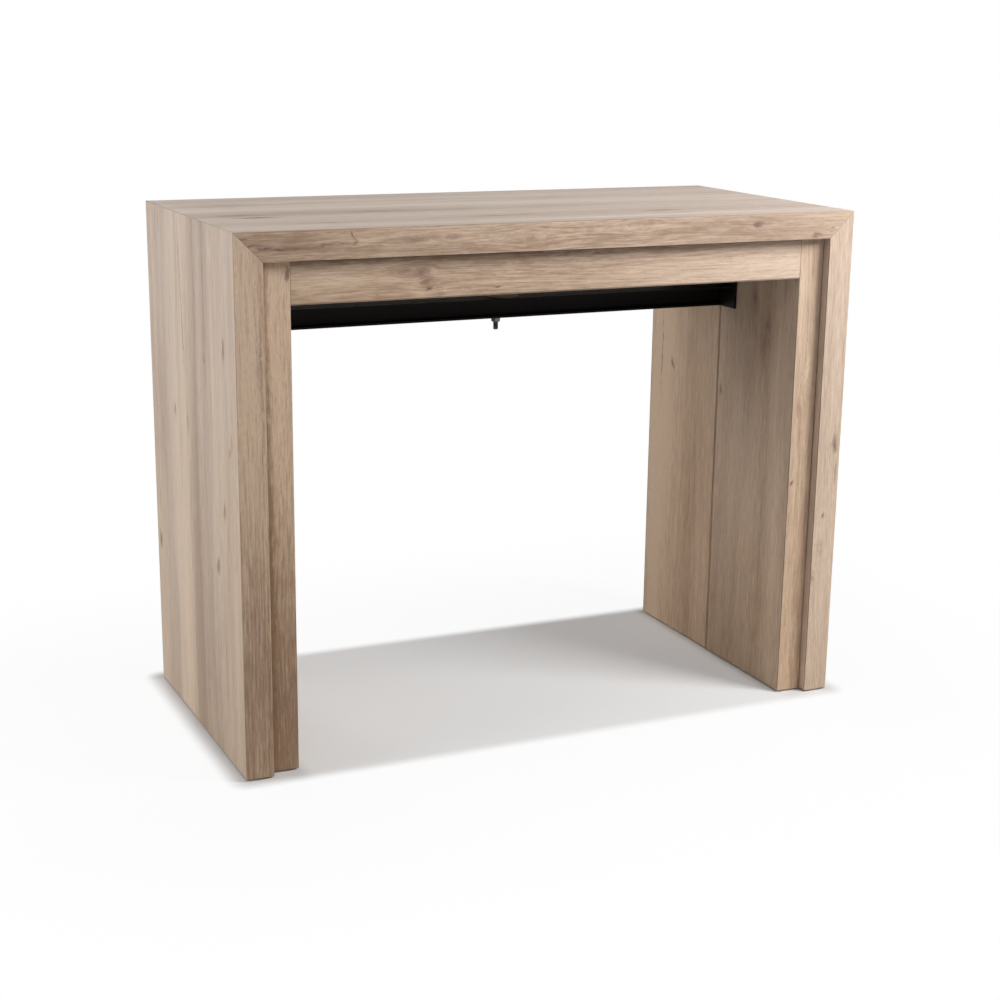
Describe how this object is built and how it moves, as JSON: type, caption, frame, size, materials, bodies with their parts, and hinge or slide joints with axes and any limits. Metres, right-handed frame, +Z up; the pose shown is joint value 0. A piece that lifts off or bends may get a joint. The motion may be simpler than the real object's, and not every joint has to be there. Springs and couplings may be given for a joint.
{
  "type": "extendable console table",
  "caption": "Closed console table: mitred outer frame, nested inner frame whose front half draws out on telescopic guides, black cross bar with a stud for a centre leg.",
  "frame": {"origin": "on the floor under the middle of the closed table", "axes": "+X along the width to the right as seen from the front, +Y from the front to the rear, +Z up; the front frame draws out along -Y"},
  "size_m": [0.96, 0.46, 0.76],
  "materials": {
    "oak_panel": "matt natural oak laminate with knots, grain along each board",
    "beech": "plain sanded beech, unfinished",
    "black_steel": "fine black powder coat on folded sheet steel",
    "guide_aluminium": "black anodised extrusion, drawn lines along its length",
    "zinc_steel": "bright zinc plate",
    "pad_plastic": "matt grey moulded plastic",
    "foot_plastic": "matt black moulded plastic"
  },
  "bodies": {
    "fixed_frame": {"guide_fixed_left": "guide_aluminium", "guide_fixed_right": "guide_aluminium", "mitre_spline_left": "beech", "mitre_spline_right": "beech", "outer_side_left": "oak_panel", "outer_side_right": "oak_panel", "outer_top": "oak_panel", "rear_apron": "oak_panel", "rear_dowel_left_lower": "beech", "rear_dowel_left_upper": "beech", "rear_dowel_right_lower": "beech", "rear_dowel_right_upper": "beech", "rear_leg_left": "oak_panel", "rear_leg_left_foot_front": "foot_plastic", "rear_leg_left_foot_rear": "foot_plastic", "rear_leg_right": "oak_panel", "rear_leg_right_foot_front": "foot_plastic", "rear_leg_right_foot_rear": "foot_plastic", "runner_left": "beech", "runner_right": "beech", "side_left_foot_front": "foot_plastic", "side_left_foot_rear": "foot_plastic", "side_right_foot_front": "foot_plastic", "side_right_foot_rear": "foot_plastic"},
    "stage_1": {"guide_stage1_left": "guide_aluminium", "guide_stage1_right": "guide_aluminium"},
    "stage_2": {"guide_stage2_left": "guide_aluminium", "guide_stage2_right": "guide_aluminium"},
    "stage_3": {"cross_bar": "black_steel", "guide_stage3_left": "guide_aluminium", "guide_stage3_right": "guide_aluminium", "hanger_left": "black_steel", "hanger_right": "black_steel", "leg_nut": "zinc_steel", "leg_stud": "zinc_steel", "rest_pad": "pad_plastic"},
    "stage_4": {"guide_stage4_left": "guide_aluminium", "guide_stage4_right": "guide_aluminium"},
    "stage_5": {"guide_stage5_left": "guide_aluminium", "guide_stage5_right": "guide_aluminium"},
    "front_frame": {"front_apron": "oak_panel", "front_dowel_left_lower": "beech", "front_dowel_left_upper": "beech", "front_dowel_right_lower": "beech", "front_dowel_right_upper": "beech", "front_leg_left": "oak_panel", "front_leg_left_foot_front": "foot_plastic", "front_leg_left_foot_rear": "foot_plastic", "front_leg_right": "oak_panel", "front_leg_right_foot_front": "foot_plastic", "front_leg_right_foot_rear": "foot_plastic", "guide_front_left": "guide_aluminium", "guide_front_right": "guide_aluminium"}
  },
  "joints": [
    {"name": "stage_1_slide", "type": "slide", "parent": "fixed_frame", "child": "stage_1", "axis": [0, -1, 0], "range_m": [0, 0.3]},
    {"name": "stage_2_slide", "type": "slide", "parent": "stage_1", "child": "stage_2", "axis": [0, -1, 0], "range_m": [0, 0.3]},
    {"name": "stage_3_slide", "type": "slide", "parent": "stage_2", "child": "stage_3", "axis": [0, -1, 0], "range_m": [0, 0.3]},
    {"name": "stage_4_slide", "type": "slide", "parent": "stage_3", "child": "stage_4", "axis": [0, -1, 0], "range_m": [0, 0.3]},
    {"name": "stage_5_slide", "type": "slide", "parent": "stage_4", "child": "stage_5", "axis": [0, -1, 0], "range_m": [0, 0.3]},
    {"name": "front_frame_slide", "type": "slide", "parent": "stage_5", "child": "front_frame", "axis": [0, -1, 0], "range_m": [0, 0.3]}
  ],
  "couplings": [
    {"joint": "stage_1_slide", "follows": "front_frame_slide", "ratio": 1},
    {"joint": "stage_2_slide", "follows": "front_frame_slide", "ratio": 1},
    {"joint": "stage_3_slide", "follows": "front_frame_slide", "ratio": 1},
    {"joint": "stage_4_slide", "follows": "front_frame_slide", "ratio": 1},
    {"joint": "stage_5_slide", "follows": "front_frame_slide", "ratio": 1}
  ]
}
